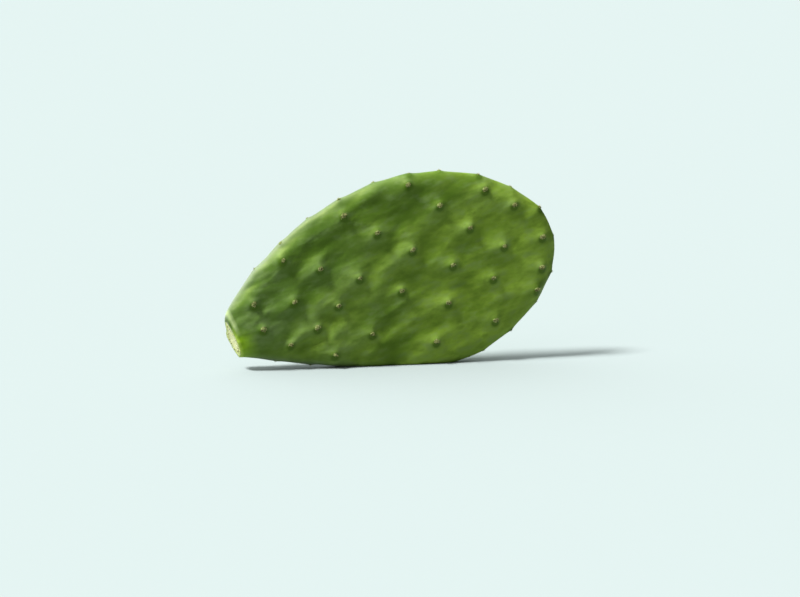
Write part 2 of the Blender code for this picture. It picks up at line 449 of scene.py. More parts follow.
def run_tree(thing, tree, values):
    """Runs a tree on an object with the given inputs, and keeps the result as a plain mesh."""
    modifier = thing.modifiers.new(tree.name, "NODES")
    modifier.node_group = tree
    for item in tree.interface.items_tree:
        if item.in_out == "INPUT" and item.name in values:
            modifier[item.identifier] = values[item.name]
    bpy.context.view_layer.update()
    evaluated = thing.evaluated_get(bpy.context.evaluated_depsgraph_get())
    mesh = bpy.data.meshes.new_from_object(evaluated)
    thing.modifiers.remove(modifier)
    mesh.name = thing.name
    thing.data = mesh
    return thing


print("helpers ready")

# %% [markdown]
# ## The swellings
# Under each areole the skin swells into a tubercle: steep towards the tip of the pad, with a
# slight hollow beyond it and a small nub where the areole sits. Just below each nub the
# material paints shade, where the nub keeps the light off. Sculpting would do it by hand. A
# Repeat Zone does it by rule: it goes through the seats one by one and adds up their swellings
# and the nearness of each spot of painted shade. Stretched noises add soft folds along the pad,
# deeper towards the base, where the skin is older. The sums stay on the mesh for the material
# to read.

# %% Shape one swelling
SWELLINGS = {
    "Seats": seats, "To base": 15.0 * MM, "To tip": 6.0 * MM, "Half width": 6.5 * MM,
    "Hollow": 0.25, "Nub": 0.45, "Nub radius": 2.5 * MM, "Fold": 1.6 * MM,
    "Fold size": 11.5 * MM, "Lump": 0.17 * MM, "Lump size": 4.0 * MM, "Fading": -7.0,
}
BELL_ROUNDING = 4.0
HOLLOW_PLACE = 1.4
# How far below each seat the spot of painted shade sits.
SHADE_DROP = 1.8 * MM


def square_of(tree, value):
    """A number times itself."""
    return math_of(tree, "MULTIPLY", value, value)


def bell_of(tree, squared):
    """A round bump that is 1 where a squared distance is 0, and fades away from there."""
    return math_of(tree, "EXPONENT", math_of(tree, "MULTIPLY", squared, -1.0))


def seat_values(tree, seat, index):
    """The place, the way to the base and the height of one seat."""
    for kind, value in (
        ("FLOAT_VECTOR", position(tree)),
        ("FLOAT_VECTOR", value_on(tree, "to_base", "FLOAT_VECTOR")),
        ("FLOAT", value_on(tree, "height")),
    ):
        sample = add_node(tree, "GeometryNodeSampleIndex", data_type=kind, domain="POINT")
        for name, source in (("Geometry", seat), ("Value", value), ("Index", index)):
            link(tree, source, sample.inputs[name])
        yield sample.outputs[0]


def swelling_at_seat(tree, sizes, seat, index):
    """How far one seat's swelling raises each point, and how near it is to the painted shade below
    the seat.
    """
    centre, to_base, height = seat_values(tree, seat, index)
    offset = vector_of(tree, "SUBTRACT", position(tree), centre)
    down = number_of(tree, "DOT_PRODUCT", offset, to_base)
    along = vector_of(tree, "SCALE", to_base, None, None, down)
    aside = number_of(tree, "LENGTH", vector_of(tree, "SUBTRACT", offset, along))
    aside = square_of(tree, math_of(tree, "DIVIDE", aside, sizes["Half width"]))

    is_down = math_of(tree, "GREATER_THAN", down, 0.0)
    reach = math_of(tree, "MULTIPLY_ADD", is_down,
                    math_of(tree, "SUBTRACT", sizes["To base"], sizes["To tip"]), sizes["To tip"])
    share = math_of(tree, "DIVIDE", down, reach)
    spread = math_of(tree, "MULTIPLY_ADD", share, share, aside)
    rounded = math_of(tree, "SQRT", math_of(tree, "MULTIPLY_ADD", spread, BELL_ROUNDING, 1.0))
    bell = math_of(tree, "EXPONENT", math_of(tree, "SUBTRACT", 1.0, rounded))

    beyond = math_of(tree, "MULTIPLY_ADD", sizes["To tip"], HOLLOW_PLACE, down)
    beyond = math_of(tree, "DIVIDE", beyond, sizes["To tip"])
    dip = bell_of(tree, math_of(tree, "MULTIPLY_ADD", beyond, beyond, aside))
    dip = math_of(tree, "MULTIPLY", dip, sizes["Hollow"])

    near = math_of(tree, "DIVIDE", number_of(tree, "LENGTH", offset), sizes["Nub radius"])
    top = math_of(tree, "MULTIPLY_ADD", bell_of(tree, square_of(tree, near)), sizes["Nub"], bell)
    under = number_of(tree, "LENGTH", vector_of(tree, "ADD", offset, (0.0, 0.0, SHADE_DROP)))
    under = math_of(tree, "DIVIDE", under, sizes["Nub radius"])
    rise = math_of(tree, "MULTIPLY", math_of(tree, "SUBTRACT", top, dip), height)
    return rise, bell_of(tree, square_of(tree, under))


print("inputs of the swellings:", ", ".join(SWELLINGS))

# %% Raise the swellings
FOLD_TILT = math.radians(30)
FOLD_STRETCH = (0.5, 1.0, 1.0)
FOLD_BEND = 0.3
FOLD_DETAIL = 0.4
LUMP_DETAIL = 1.0


def stretched_noise(tree, size, detail, amount):
    """A noise stretched along the slant of the folds, from minus to plus an amount."""
    turned = add_node(tree, "ShaderNodeVectorRotate", position(tree), rotation_type="Y_AXIS")
    turned.inputs["Angle"].default_value = FOLD_TILT
    squeezed = vector_of(tree, "MULTIPLY", turned.outputs[0], FOLD_STRETCH)
    place = vector_of(tree, "DIVIDE", squeezed, size)
    return centred_noise(tree, place, amount, detail, FOLD_BEND)


def summed_swellings(tree, sizes):
    """The skin with the swellings of all the seats, and the painted shade below each, added up on
    its points.
    """
    seat = add_node(tree, "GeometryNodeObjectInfo", sizes["Seats"]).outputs["Geometry"]
    count = add_node(tree, "GeometryNodeAttributeDomainSize", seat, component="MESH")
    start = add_node(tree, "GeometryNodeRepeatInput")
    end = add_node(tree, "GeometryNodeRepeatOutput")
    start.pair_with_output(end)
    end.repeat_items.new("INT", "Seat")
    link(tree, count.outputs["Point Count"], start.inputs["Iterations"])
    fresh, running = sizes["Geometry"], start.outputs["Geometry"]
    added = swelling_at_seat(tree, sizes, seat, start.outputs["Seat"])
    for name, amount in zip(("swell", "shade_below"), added):
        fresh = store(tree, fresh, name, 0.0)
        total = math_of(tree, "ADD", value_on(tree, name), amount)
        running = store(tree, running, name, total)
    link(tree, fresh, start.inputs["Geometry"])
    link(tree, running, end.inputs["Geometry"])
    link(tree, math_of(tree, "ADD", start.outputs["Seat"], 1.0), end.inputs["Seat"])
    return end.outputs["Geometry"]


def swelling_tree():
    """The tree that raises the skin at every seat."""
    tree, sizes, out = new_tree("swellings", SWELLINGS)
    skin = summed_swellings(tree, sizes)
    folds = stretched_noise(tree, sizes["Fold size"], FOLD_DETAIL, sizes["Fold"])
    lumps = stretched_noise(tree, sizes["Lump size"], LUMP_DETAIL, sizes["Lump"])
    facing = number_of(tree, "DOT_PRODUCT", way_out(tree), (0.0, 1.0, 0.0))
    facing = math_of(tree, "ABSOLUTE", facing)
    along = add_node(tree, "ShaderNodeSeparateXYZ", position(tree)).outputs["X"]
    fading = math_of(tree, "MULTIPLY_ADD", along, sizes["Fading"], 1.0)
    rough = math_of(tree, "MULTIPLY", math_of(tree, "ADD", folds, lumps),
                    math_of(tree, "MULTIPLY", fading, facing))
    skin = store(tree, skin, "facing", facing)
    skin = store(tree, skin, "lift", math_of(tree, "ADD", value_on(tree, "swell"), rough))
    link(tree, pushed(tree, skin, way_out(tree), value_on(tree, "lift")), out["Geometry"])
    return tree


pad = run_tree(pad, swelling_tree(), SWELLINGS)
lifts = [v.value / MM for v in pad.data.attributes["lift"].data]
print("lift, mm:", round(min(lifts), 2), "to", round(max(lifts), 2))

# %% [markdown]
# ## The cut and the spot it rests on
# A knife took the pad off at its joint. The skin is cut by one slanting plane, and the opening is
# closed a little way in, like a shallow cup, to hold the flesh. As it dries the edge curls out
# into a thin lip, and the upper corner shrinks and rounds over; moving the points near the
# plane by their depth does both, and keeps the opening flat. The weight of the pad presses its
# lower edge flat, so points that would sink below the surface it stands on stop there.

# %% Place the cut
CUT_TILT = math.radians(20.5)
CUT_OBLIQUE = math.radians(16)
CUP_DEPTH = 2.0 * MM
CUP_INSET = 0.25 * MM
LIP_RISE = 0.45 * MM
LIP_WIDTH = 2.2 * MM
CORNER_ROUND = 3.4 * MM
CORNER_START = 17 * MM
CORNER_FADE = 17 * MM
CUT_OUT = Vector((-math.cos(CUT_TILT) * math.cos(CUT_OBLIQUE), -math.sin(CUT_OBLIQUE),
                  -math.sin(CUT_TILT) * math.cos(CUT_OBLIQUE)))
CUT_POINT = Vector((CUT_MIDDLE[0], middle_plane(np.array([CUT_MIDDLE]))[0], CUT_MIDDLE[1])) * MM

print("cut faces:", [round(v, 2) for v in CUT_OUT])

# %% Cut the base and press the edge flat
def ordered_loop(bm):
    """The points of the one open edge of a mesh, in order."""
    edges = [e for e in bm.edges if e.is_boundary]
    ring = [edges[0].verts[0], edges[0].verts[1]]
    while True:
        nexts = [e.other_vert(ring[-1]) for e in ring[-1].link_edges if e.is_boundary]
        step = next((v for v in nexts if v is not ring[-2]), None)
        if step is None or step is ring[0]:
            return ring
        ring.append(step)


def middle_of(points):
    """The mean of some points."""
    return sum(points, Vector()) / len(points)


def edge_rise(vert):
    """How a point of the skin near the cut moves: out a little, but down at the upper corner."""
    depth = (CUT_POINT - vert.co).dot(CUT_OUT)
    above = min(max((vert.co.z - CORNER_START) / CORNER_FADE, 0.0), 1.0)
    upper = above * above * (3 - 2 * above)
    lip = LIP_RISE * math.exp(-(depth / LIP_WIDTH) ** 2) * (1 - upper)
    short = min(max(1 - depth / CORNER_ROUND, 0.0), 1.0)
    drop = CORNER_ROUND * (1 - math.sqrt(1 - short ** 2)) * upper
    return vert.normal * lip - Vector((0, 0, drop))


def cut_base(skin):
    """Cuts the skin at the base, closes it as a shallow cup and returns the cut's outline."""
    bm = bmesh.new()
    bm.from_mesh(skin.data)
    everything = bm.verts[:] + bm.edges[:] + bm.faces[:]
    bmesh.ops.bisect_plane(bm, geom=everything, plane_co=CUT_POINT, plane_no=CUT_OUT,
                           clear_outer=True)
    bm.normal_update()
    raised = [(v, edge_rise(v)) for v in bm.verts]
    for vert, rise in raised:
        vert.co += rise - CUT_OUT * rise.dot(CUT_OUT)
        vert.co.z = max(vert.co.z, 0.0)
    ring = ordered_loop(bm)
    edge = [v.co.copy() for v in ring]
    middle = middle_of(edge)
    open_edges = [e for e in bm.edges if e.is_boundary]
    walls = bmesh.ops.extrude_edge_only(bm, edges=open_edges)["geom"]
    for vert in (g for g in walls if isinstance(g, bmesh.types.BMVert)):
        inward = (middle - vert.co).normalized()
        vert.co += inward * CUP_INSET - CUT_OUT * CUP_DEPTH
    bmesh.ops.holes_fill(bm, edges=[e for e in bm.edges if e.is_boundary])
    bmesh.ops.recalc_face_normals(bm, faces=bm.faces)
    bm.to_mesh(skin.data)
    bm.free()
    return edge


cut_edge = cut_base(pad)
near_cut = [(CUT_POINT - v.co).dot(CUT_OUT) for v in pad.data.vertices]
add_values(pad.data, "from_cut", "FLOAT", near_cut)
pad.data.shade_smooth()
print("points round the cut:", len(cut_edge))

# %% [markdown]
# ## The flesh of the cut
# Fresh flesh is pale and wet in the middle, greener under the skin, and dips a little because it
# dries first. It is a plug: rings drawn in from the cut's own edge, closed at the middle, with a
# short skirt behind that tucks into the cup. The share of the way in stays on the mesh, so
# the material can colour the rind, the green layer and the core by it.

# %% Fill the cut
FLESH_RINGS = 18
RING_CROWDING = 1.3
FLESH_DIP = 0.5 * MM
FLESH_STEP = -0.02 * MM
SKIRT_DEPTH = 1.2 * MM
SKIRT_SHARE = 0.96


def flesh_point(point, middle, inward):
    """The point of the flesh that lies a share of the way from the cut's edge to its middle."""
    dip = FLESH_STEP + FLESH_DIP * math.sin(inward * math.pi / 2) ** 2
    return point.lerp(middle, inward) - CUT_OUT * dip


def make_flesh(edge):
    """The plug of flesh, from rings that close in on the middle of the cut."""
    middle = middle_of(edge)
    bm = bmesh.new()
    share = bm.verts.layers.float.new("inward")
    behind = middle - CUT_OUT * SKIRT_DEPTH
    skirt = [bm.verts.new(behind + (p - middle) * SKIRT_SHARE) for p in edge]
    rings = [skirt]
    for k in range(FLESH_RINGS):
        inward = (k / FLESH_RINGS) ** RING_CROWDING
        ring = [bm.verts.new(flesh_point(p, middle, inward)) for p in edge]
        for vert in ring:
            vert[share] = inward
        rings.append(ring)
    for outer, inner in zip(rings, rings[1:]):
        for i in range(len(edge)):
            j = (i + 1) % len(edge)
            bm.faces.new((outer[i], outer[j], inner[j], inner[i]))
    tip = bm.verts.new(flesh_point(middle, middle, 1.0))
    tip[share] = 1.0
    for i in range(len(edge)):
        bm.faces.new((rings[-1][i], rings[-1][(i + 1) % len(edge)], tip))
    bm.faces.new(skirt[::-1])
    bmesh.ops.recalc_face_normals(bm, faces=bm.faces)
    return object_from(bm, "cut_flesh")


flesh = make_flesh(cut_edge)
flesh.data.shade_smooth()
print("faces of the flesh:", len(flesh.data.polygons))

# %% [markdown]
# ## Felt cushions
# Each areole is a small oval cushion of felt at the tip end of its swelling. They are all alike
# but never the same, so one sphere is placed on every seat, flattened, turned to the base of
# the pad and scaled by a seeded draw. Once the copies are made real, a noise roughens them
# where they stand, so that no two keep the same lumps.

# %% Helpers for copies
def random_of(tree, lowest, highest, seed):
    """A seeded random number for each point or copy."""
    node = add_node(tree, "FunctionNodeRandomValue", data_type="FLOAT")
    node.inputs[2].default_value = lowest
    node.inputs[3].default_value = highest
    node.inputs["Seed"].default_value = seed
    return node.outputs[1]


def combined(tree, x, y, z):
    """A vector from three numbers."""
    return add_node(tree, "ShaderNodeCombineXYZ", x, y, z).outputs[0]


def copies_of(tree, shape, points, turn, scale):
    """Copies of a shape on points, each with its turn and its scale."""
    copies = add_node(tree, "GeometryNodeInstanceOnPoints", points)
    for name, value in (("Instance", shape), ("Rotation", turn), ("Scale", scale)):
        link(tree, value, copies.inputs[name])
    return copies.outputs[0]


def tinted_mesh(tree, copies, seed):
    """Copies made real, each with its own tint from 0 to 1."""
    tinted = store(tree, copies, "tint", random_of(tree, 0.0, 1.0, seed), "INSTANCE")
    return add_node(tree, "GeometryNodeRealizeInstances", tinted).outputs[0]


def finish_tree(tree, mesh, sizes, out, smooth):
    """The end of a tree: how the mesh is shaded, and its material."""
    shaded = add_node(tree, "GeometryNodeSetShadeSmooth", mesh)
    shaded.inputs["Shade Smooth"].default_value = smooth
    painted = add_node(tree, "GeometryNodeSetMaterial", shaded.outputs[0])
    link(tree, sizes["Material"], painted.inputs["Material"])
    link(tree, painted.outputs[0], out["Geometry"])


def new_material(name, surface):
    """A Principled material with the given constants, and its tree and shader."""
    material = bpy.data.materials.new(name)
    material.use_nodes = True
    shader = material.node_tree.nodes["Principled BSDF"]
    for label, value in surface.items():
        shader.inputs[label].default_value = value
    return material, material.node_tree, shader


print("helpers ready")

# %% Place the cushions
felt, felt_nodes, felt_shader = new_material("areole_felt", {"Roughness": 0.95})
CUSHIONS = {
    "Long radius": 1.75 * MM, "Short radius": 1.35 * MM, "Half height": 1.2 * MM, "Sink": 0.5 * MM,
    "Lump": 0.25 * MM, "Lump size": 0.7 * MM, "Material": felt,
}
CUSHION_SEGMENTS = 18
CUSHION_RINGS = 12
CUSHION_WIDTHS = (0.85, 1.15)
CUSHION_HEIGHTS = (0.75, 1.2)
CUSHION_SEED = 3
LOWEST_CUSHION = 2 * MM


def cushion_tree():
    """The tree that puts a felt cushion on every seat."""
    tree, sizes, out = new_tree("felt_cushions", CUSHIONS)
    ball = add_node(tree, "GeometryNodeMeshUVSphere", CUSHION_SEGMENTS, CUSHION_RINGS, 1.0)
    outwards = value_on(tree, "out", "FLOAT_VECTOR")
    to_base = value_on(tree, "to_base", "FLOAT_VECTOR")
    upright = add_node(tree, "FunctionNodeAlignRotationToVector", None, None, outwards, axis="Z")
    turned = add_node(tree, "FunctionNodeAlignRotationToVector", upright.outputs[0], None,
                      to_base, axis="X", pivot_axis="Z")
    wide, tall = (
        math_of(tree, "MULTIPLY", random_of(tree, *spread, seed), value_on(tree, "share"))
        for spread, seed in ((CUSHION_WIDTHS, CUSHION_SEED), (CUSHION_HEIGHTS, CUSHION_SEED + 1)))
    scale = combined(tree, math_of(tree, "MULTIPLY", sizes["Long radius"], wide),
                     math_of(tree, "MULTIPLY", sizes["Short radius"], wide),
                     math_of(tree, "MULTIPLY", sizes["Half height"], tall))
    way_in = math_of(tree, "MULTIPLY", sizes["Sink"], -1.0)
    sunk = pushed(tree, sizes["Geometry"], outwards, way_in)
    copies = copies_of(tree, ball.outputs["Mesh"], sunk, turned.outputs[0], scale)
    felt_balls = tinted_mesh(tree, copies, CUSHION_SEED + 2)
    place = vector_of(tree, "DIVIDE", position(tree), sizes["Lump size"])
    lumps = centred_noise(tree, place, sizes["Lump"])
    rough = pushed(tree, felt_balls, way_out(tree), lumps)
    finish_tree(tree, rough, sizes, out, smooth=True)
    return tree


cushion_seats = make_seats("areole_cushions", pad, rays, LOWEST_CUSHION)
cushions = run_tree(cushion_seats, cushion_tree(), CUSHIONS)
print("cushion faces:", len(cushions.data.polygons))

# %% [markdown]
# ## Ends of the vessels
# The pad's water vessels stand in a ring inside the rind, and the knife leaves their ends as
# small dark specks. They could be painted, but a ring of beads that are half sunk in the flesh
# also catches the light. A closed loop of edges is the path, and the tree spaces them on it.

# %% Set the vessel ends
VESSEL_INSET = 0.30
VESSEL_WIDTHS = (0.5, 1.3)
VESSEL_SEED = 4
vessel = new_material("vessel_end", {"Base Color": (0.13, 0.12, 0.03, 1), "Roughness": 0.4})[0]
VESSELS = {"Count": 24, "Radius": 0.45 * MM, "Wander": 0.6 * MM, "Material": vessel}


def make_vessel_path(edge):
    """A closed loop of edges on the flesh, a share of the way in from the rind."""
    middle = middle_of(edge)
    points = [flesh_point(p, middle, VESSEL_INSET) for p in edge]
    mesh = bpy.data.meshes.new("vessel_ends")
    mesh.from_pydata(points, [(i, (i + 1) % len(points)) for i in range(len(points))], [])
    return new_object("vessel_ends", mesh)


def wander_of(tree, reach, seed):
    """A seeded random vector for each point, up to a reach each way."""
    wander = add_node(tree, "FunctionNodeRandomValue", (-1, -1, -1), (1, 1, 1),
                      data_type="FLOAT_VECTOR")
    link(tree, seed, wander.inputs["Seed"])
    return vector_of(tree, "SCALE", wander.outputs[0], None, None, reach)


def vessel_tree():
    """The tree that spaces beads along a loop of edges."""
    tree, sizes, out = new_tree("vessel_ends", VESSELS)
    path = add_node(tree, "GeometryNodeMeshToCurve", sizes["Geometry"]).outputs["Curve"]
    spots = add_node(tree, "GeometryNodeResampleCurve", path)
    link(tree, sizes["Count"], spots.inputs["Count"])
    wander = wander_of(tree, sizes["Wander"], 0)
    off_cut = vector_of(tree, "PROJECT", wander, tuple(CUT_OUT))
    moved = add_node(tree, "GeometryNodeSetPosition", spots.outputs[0])
    link(tree, vector_of(tree, "SUBTRACT", wander, off_cut), moved.inputs["Offset"])
    bead = add_node(tree, "GeometryNodeMeshIcoSphere", sizes["Radius"], 2)
    width = random_of(tree, *VESSEL_WIDTHS, VESSEL_SEED)
    copies = copies_of(tree, bead.outputs["Mesh"], moved.outputs[0], None,
                       combined(tree, width, width, width))
    beads = add_node(tree, "GeometryNodeRealizeInstances", copies).outputs[0]
    finish_tree(tree, beads, sizes, out, smooth=True)
    return tree


vessel_ends = run_tree(make_vessel_path(cut_edge), vessel_tree(), VESSELS)
print("vessel faces:", len(vessel_ends.data.polygons))

# %% [markdown]
# ## Bristles and felt hairs
# The cushions hold two growths: glochids, which are stiff little bristles, and a wool of much
# finer hairs. Hair curves would not survive as plain meshes, so slim cones are scattered on
# the cushions, leaning outwards with a seeded tilt. The same tree makes both growths.

# %% Grow the bristles and the hairs
bristle, bristle_nodes, bristle_shader = new_material("bristle", {"Roughness": 0.5})
wool, wool_nodes, wool_shader = new_material("areole_wool", {"Roughness": 0.9})
GLOCHIDS = {
    "Count per area": 3.0e6, "Length": 1.1 * MM, "Root radius": 0.07 * MM, "Lean": 0.55,
    "Sink": 0.1 * MM, "Seed": 1, "Material": bristle,
}
FELT_HAIRS = {
    "Count per area": 6.0e6, "Length": 0.6 * MM, "Root radius": 0.045 * MM, "Lean": 0.9,
    "Sink": 0.05 * MM, "Seed": 2, "Material": wool,
}
BRISTLE_SIDES = 4
BRISTLE_LENGTHS = (0.55, 1.25)
BRISTLE_SEED = 5
LEAST_RISE = 0.15 * MM


def bristle_tree():
    """The tree that scatters leaning cones over the cushions."""
    tree, sizes, out = new_tree("bristles", GLOCHIDS)
    spots = add_node(tree, "GeometryNodeDistributePointsOnFaces", sizes["Geometry"],
                     distribute_method="RANDOM")
    link(tree, sizes["Count per area"], spots.inputs["Density"])
    link(tree, sizes["Seed"], spots.inputs["Seed"])
    aim = vector_of(tree, "ADD", spots.outputs["Normal"],
                    wander_of(tree, sizes["Lean"], sizes["Seed"]))
    turned = add_node(tree, "FunctionNodeAlignRotationToVector", None, None, aim, axis="Z")
    cone = add_node(tree, "GeometryNodeMeshCone", fill_type="TRIANGLE_FAN")
    for name, value in (("Vertices", BRISTLE_SIDES), ("Radius Top", 0.0),
                        ("Radius Bottom", sizes["Root radius"]), ("Depth", sizes["Length"])):
        link(tree, value, cone.inputs[name])
    way_in = math_of(tree, "MULTIPLY", sizes["Sink"], -1.0)
    sunk = pushed(tree, spots.outputs["Points"], spots.outputs["Normal"], way_in)
    length = random_of(tree, *BRISTLE_LENGTHS, BRISTLE_SEED)
    copies = copies_of(tree, cone.outputs["Mesh"], sunk, turned.outputs[0],
                       combined(tree, 1.0, 1.0, length))
    finish_tree(tree, tinted_mesh(tree, copies, BRISTLE_SEED + 1), sizes, out, smooth=False)
    return tree


def cushion_tops(name):
    """A copy of the cushions' upper faces, those that look out of the skin."""
    bm = bmesh.new()
    bm.from_mesh(cushions.data)
    hidden = []
    for face in bm.faces:
        middle = face.calc_center_median()
        _, nearest, normal, _ = pad.closest_point_on_mesh(middle)
        if (middle - nearest).dot(normal) < LEAST_RISE:
            hidden.append(face)
    bmesh.ops.delete(bm, geom=hidden, context="FACES")
    return object_from(bm, name)


bristle_rule = bristle_tree()
glochids = run_tree(cushion_tops("glochids"), bristle_rule, GLOCHIDS)
felt_hairs = run_tree(cushion_tops("felt_hairs"), bristle_rule, FELT_HAIRS)
print("bristle faces:", len(glochids.data.polygons), "hair faces:", len(felt_hairs.data.polygons))

# %% [markdown]
# ## A small kit for materials
# A material that follows its piece needs few things: a place on the object, turned to the pad's
# axis and measured in mm, noises on it, the numbers stored on the mesh, and shares that lay
# one colour over another. A span gives the value where a share is none and the value where it
# is full, and may go on with two other shares to use there. Each step gets one line here, as
# in the trees above.

# %% Helpers for materials
FINE_DETAIL = 3.0


def object_place(nodes, along, across):
    """Object coordinates along the pad's axis and across it, in units of the two sizes in mm."""
    place = add_node(nodes, "ShaderNodeTexCoord").outputs["Object"]
    mapping = add_node(nodes, "ShaderNodeMapping", place, vector_type="TEXTURE")
    mapping.inputs["Rotation"].default_value = (0, -AXIS_TILT, 0)
    mapping.inputs["Scale"].default_value = (along * MM, across * MM, across * MM)
    return mapping.outputs[0]


def noise_of(nodes, place, detail=2.0):
    """A noise from 0 to 1 on a place."""
    noise = add_node(nodes, "ShaderNodeTexNoise")
    link(nodes, place, noise.inputs["Vector"])
    noise.inputs["Scale"].default_value = 1.0
    noise.inputs["Detail"].default_value = detail
    return noise.outputs["Fac"]


def stored_number(nodes, name):
    """A number stored on the mesh."""
    return add_node(nodes, "ShaderNodeAttribute", attribute_name=name).outputs["Fac"]


def between(nodes, value, lowest, highest, smallest=0.0, largest=1.0):
    """A value mapped from one range to another, and kept within it."""
    node = add_node(nodes, "ShaderNodeMapRange", value, lowest, highest, smallest, largest)
    return node.outputs[0]


def all_of(nodes, first, *others):
    """Shares multiplied, which is high only where all of them are."""
    for other in others:
        first = math_of(nodes, "MULTIPLY", first, other)
    return first


def layered(nodes, colour, layers):
    """A colour with others laid over it in turn, each by its own share."""
    for share, over in layers:
        mix = add_node(nodes, "ShaderNodeMix", data_type="RGBA")
        link(nodes, share, mix.inputs["Factor"])
        for value, socket in ((colour, mix.inputs[6]), (over, mix.inputs[7])):
            link(nodes, (*value, 1) if isinstance(value, tuple) else value, socket)
        colour = mix.outputs[2]
    return colour


def set_bump(nodes, shader, height, strength, distance):
    """Gives the shader a bump from a height."""
    bump = add_node(nodes, "ShaderNodeBump")
    for name, value in (("Strength", strength), ("Distance", distance), ("Height", height)):
        link(nodes, value, bump.inputs[name])
    link(nodes, bump.outputs[0], shader.inputs["Normal"])


print("helpers ready")

# %% [markdown]
# ## The skin's finish
# The skin is a waxy mid green, lighter towards the tip. Painted light lies over it: lighter
# towards the bottom for the light thrown up by the floor, painted shade in the hollows and just
# below each areole, a painted sheen on the swellings and a painted highlight along the rim near
# the base. Round the cut it is tender and yellow at the bottom, with a lip brightened as a
# painted highlight, and at the top a painted highlight strip and painted shade in a crease.
# The numbers stored on the mesh drive that, so the colour follows the form. Noises stretched
# along the pad break it up like clouds, and a fine bump gives the wax its grain.

# %% Mix the skin's greens
DEEP_GREEN = (0.034, 0.080, 0.004)
MID_GREEN = (0.058, 0.113, 0.018)
LIGHTER_GREEN = (0.168, 0.265, 0.028)
# A pale grey green: the wax bloom's clouds, and the painted sheen on the swellings.
BLOOM_AND_SHEEN = (0.135, 0.200, 0.075)
# Lighter towards the tip, and lighter towards the bottom as painted light thrown up by the floor.
TIP_AND_BOUNCE_SLOPE = (0.25, 0.0, -0.17)
TIP_AND_BOUNCE_START = 0.44
TIP_AND_BOUNCE_PATCH_MM = (60, 30)
STREAK_MM = (45, 14)
CLOUD_MM = (9, 4.5)
MOTTLE_MM = (4, 2.4)
LIFT_SPAN = (0.2 * MM, 1.8 * MM)
SHEEN_SPAN = (0.35, 0.65, 0.05, 0.35)
GREEN_LAYERS = (
    # Lighter towards the tip, and towards the bottom as painted bounce light.
    ("tip_and_bounce", LIGHTER_GREEN, (0.25, 0.95)),
    ("streaks", DEEP_GREEN, (0.56, 0.30, 0.0, 0.75)),
    # Painted sheen: paler on the raised swellings, in streaks.
    ("painted_sheen", BLOOM_AND_SHEEN, (0.0, 1.0)),
    ("mottle", DEEP_GREEN, (0.60, 0.35, 0.0, 0.15)),
    ("clouds", BLOOM_AND_SHEEN, (0.50, 0.70, 0.0, 0.36)),
    ("clouds", DEEP_GREEN, (0.48, 0.32, 0.0, 0.34)),
    # Painted shade: deep green where the skin lies low, in the hollows.
    ("lift", DEEP_GREEN, (0.2 * MM, -0.6 * MM, 0.0, 0.5)),
    # Painted shade: deep green just below each areole's nub.
    ("shade_below", DEEP_GREEN, (0.04, 0.45, 0.0, 0.85)),
)


def greens_with_painted_light(nodes, mottle):
    """The skin's greens with painted light and shade, laid over the mid green row by row."""
    place = object_place(nodes, *TIP_AND_BOUNCE_PATCH_MM)
    tip_and_bounce = math_of(nodes, "ADD", number_of(nodes, "DOT_PRODUCT", place, TIP_AND_BOUNCE_SLOPE), TIP_AND_BOUNCE_START)
    values = {
        "tip_and_bounce": math_of(nodes, "ADD", tip_and_bounce, noise_of(nodes, place)),
        "streaks": noise_of(nodes, object_place(nodes, *STREAK_MM), FINE_DETAIL),
        "clouds": noise_of(nodes, object_place(nodes, *CLOUD_MM)),
        "mottle": mottle,
        "lift": stored_number(nodes, "lift"),
        "shade_below": stored_number(nodes, "shade_below"),
    }
    # The painted sheen's share: high on the swellings, broken into streaks.
    values["painted_sheen"] = all_of(nodes, between(nodes, values["lift"], *LIFT_SPAN),
                             between(nodes, values["streaks"], *SHEEN_SPAN))
    return layered(nodes, MID_GREEN, [
        (between(nodes, values[name], *span), tint) for name, tint, span in GREEN_LAYERS])


print("layers of green:", len(GREEN_LAYERS))

# %% Pale the rim and the cut's edge
TENDER_GREEN = (0.165, 0.300, 0.004)
# The lip at the bottom of the cut: bright lime, brightened further as a painted highlight.
CUT_LIP = (0.330, 0.450, 0.070)
# A painted highlight: the rim near the base is paler where the light falls on it.
PAINTED_RIM_HIGHLIGHT = (0.145, 0.180, 0.125)
# A painted highlight: a pale strip on the rounded upper corner of the cut.
PAINTED_STRIP_HIGHLIGHT = (0.380, 0.460, 0.220)
EDGE_SPANS = {
    "near base": ("X", (-5 * MM, -90 * MM, 0.0, 0.75)),
    "low": ("Z", (30 * MM, 20 * MM)),
    "high": ("Z", (23 * MM, 30 * MM)),
    "rim": ("facing", (0.92, 0.45)),
    "tender": ("from_cut", (1.5 * MM, 12.0 * MM, 0.8, 0.0)),
    "lip": ("from_cut", (0.4 * MM, 2.2 * MM, 0.85, 0.0)),
    "past lip": ("from_cut", (0.8 * MM, 1.8 * MM)),
    "strip": ("from_cut", (4.2 * MM, 2.2 * MM, 0.0, 0.5)),
    # Painted shade: a dark line in the crease at the top of the cut.
    "crease": ("from_cut", (1.0 * MM, 0.3 * MM, 0.0, 0.7)),
}
EDGE_LAYERS = (
    (PAINTED_RIM_HIGHLIGHT, "rim", "near base"), (TENDER_GREEN, "tender", "low"), (CUT_LIP, "lip", "low"),
    (PAINTED_STRIP_HIGHLIGHT, "past lip", "strip", "high"), (DEEP_GREEN, "crease", "high"),
)


